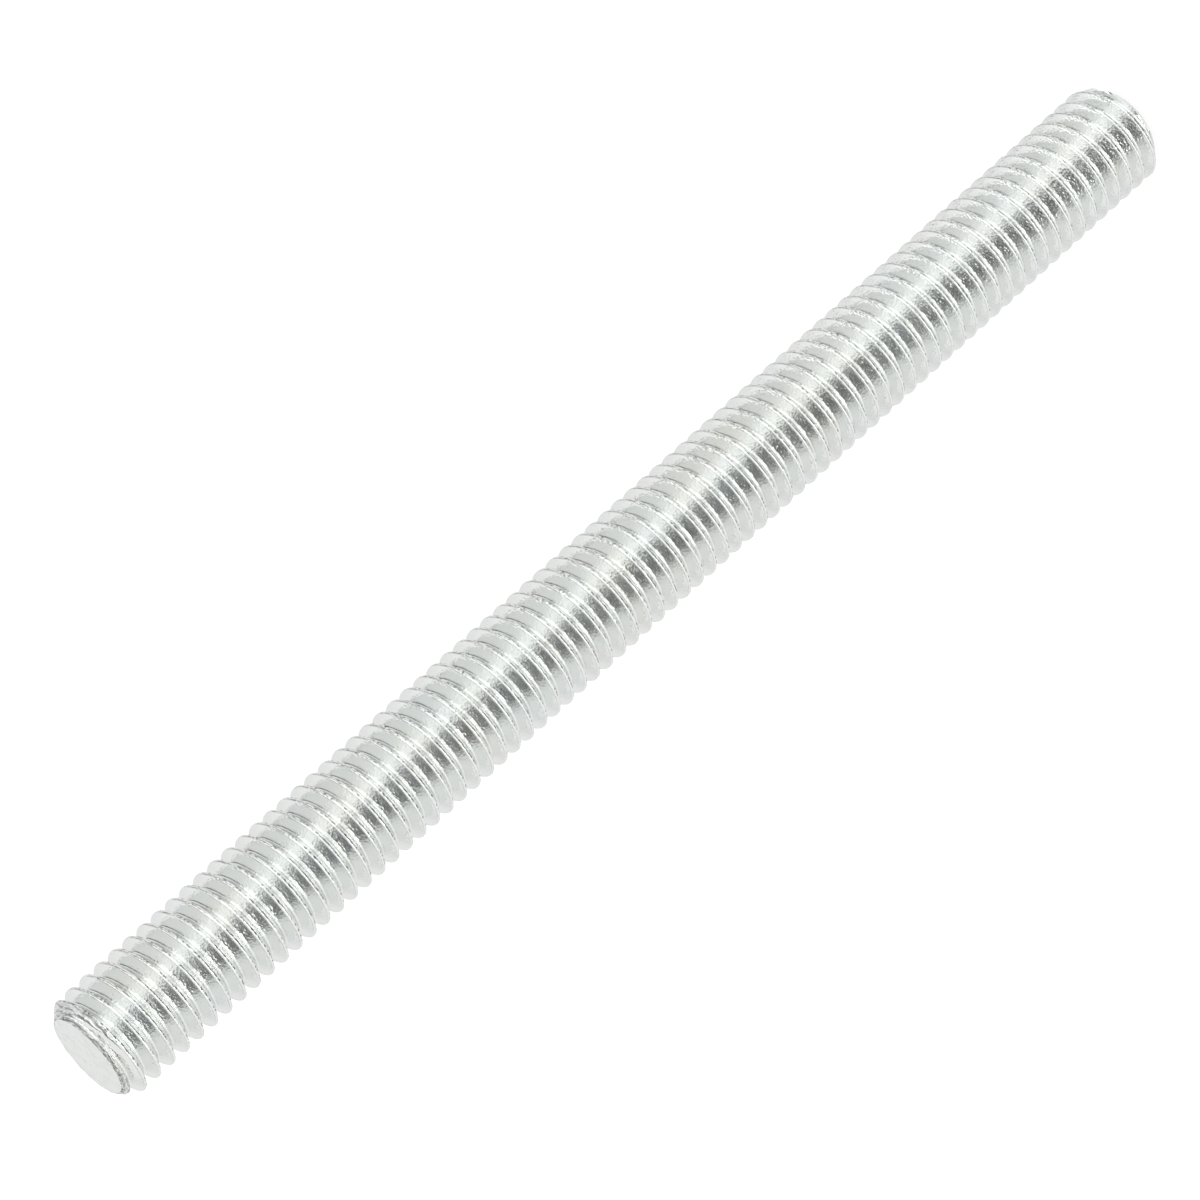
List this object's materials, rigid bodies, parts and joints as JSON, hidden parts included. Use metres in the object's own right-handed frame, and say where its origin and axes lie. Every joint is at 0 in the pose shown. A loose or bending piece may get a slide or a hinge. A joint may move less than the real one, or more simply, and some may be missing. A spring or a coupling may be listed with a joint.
{
  "type": "threaded rod",
  "caption": "Short steel rod with a right-hand metric thread along its whole length and a chamfered flat face at each end, for joining, spacing or hanging parts with nuts.",
  "frame": {"origin": "middle of the lower sawn end face, the one the rod stands on", "axes": "+Z along the rod's axis towards the upper end face; the lower end face cuts the first crest 210 degrees round from +X"},
  "size_m": [0.0078, 0.0078, 0.1],
  "materials": {
    "zinc_plated_steel": "bright zinc plate, slightly grainy, with bare seams along the rolled crests"
  },
  "bodies": {
    "root": {"threaded_rod": "zinc_plated_steel"}
  },
  "joints": []
}
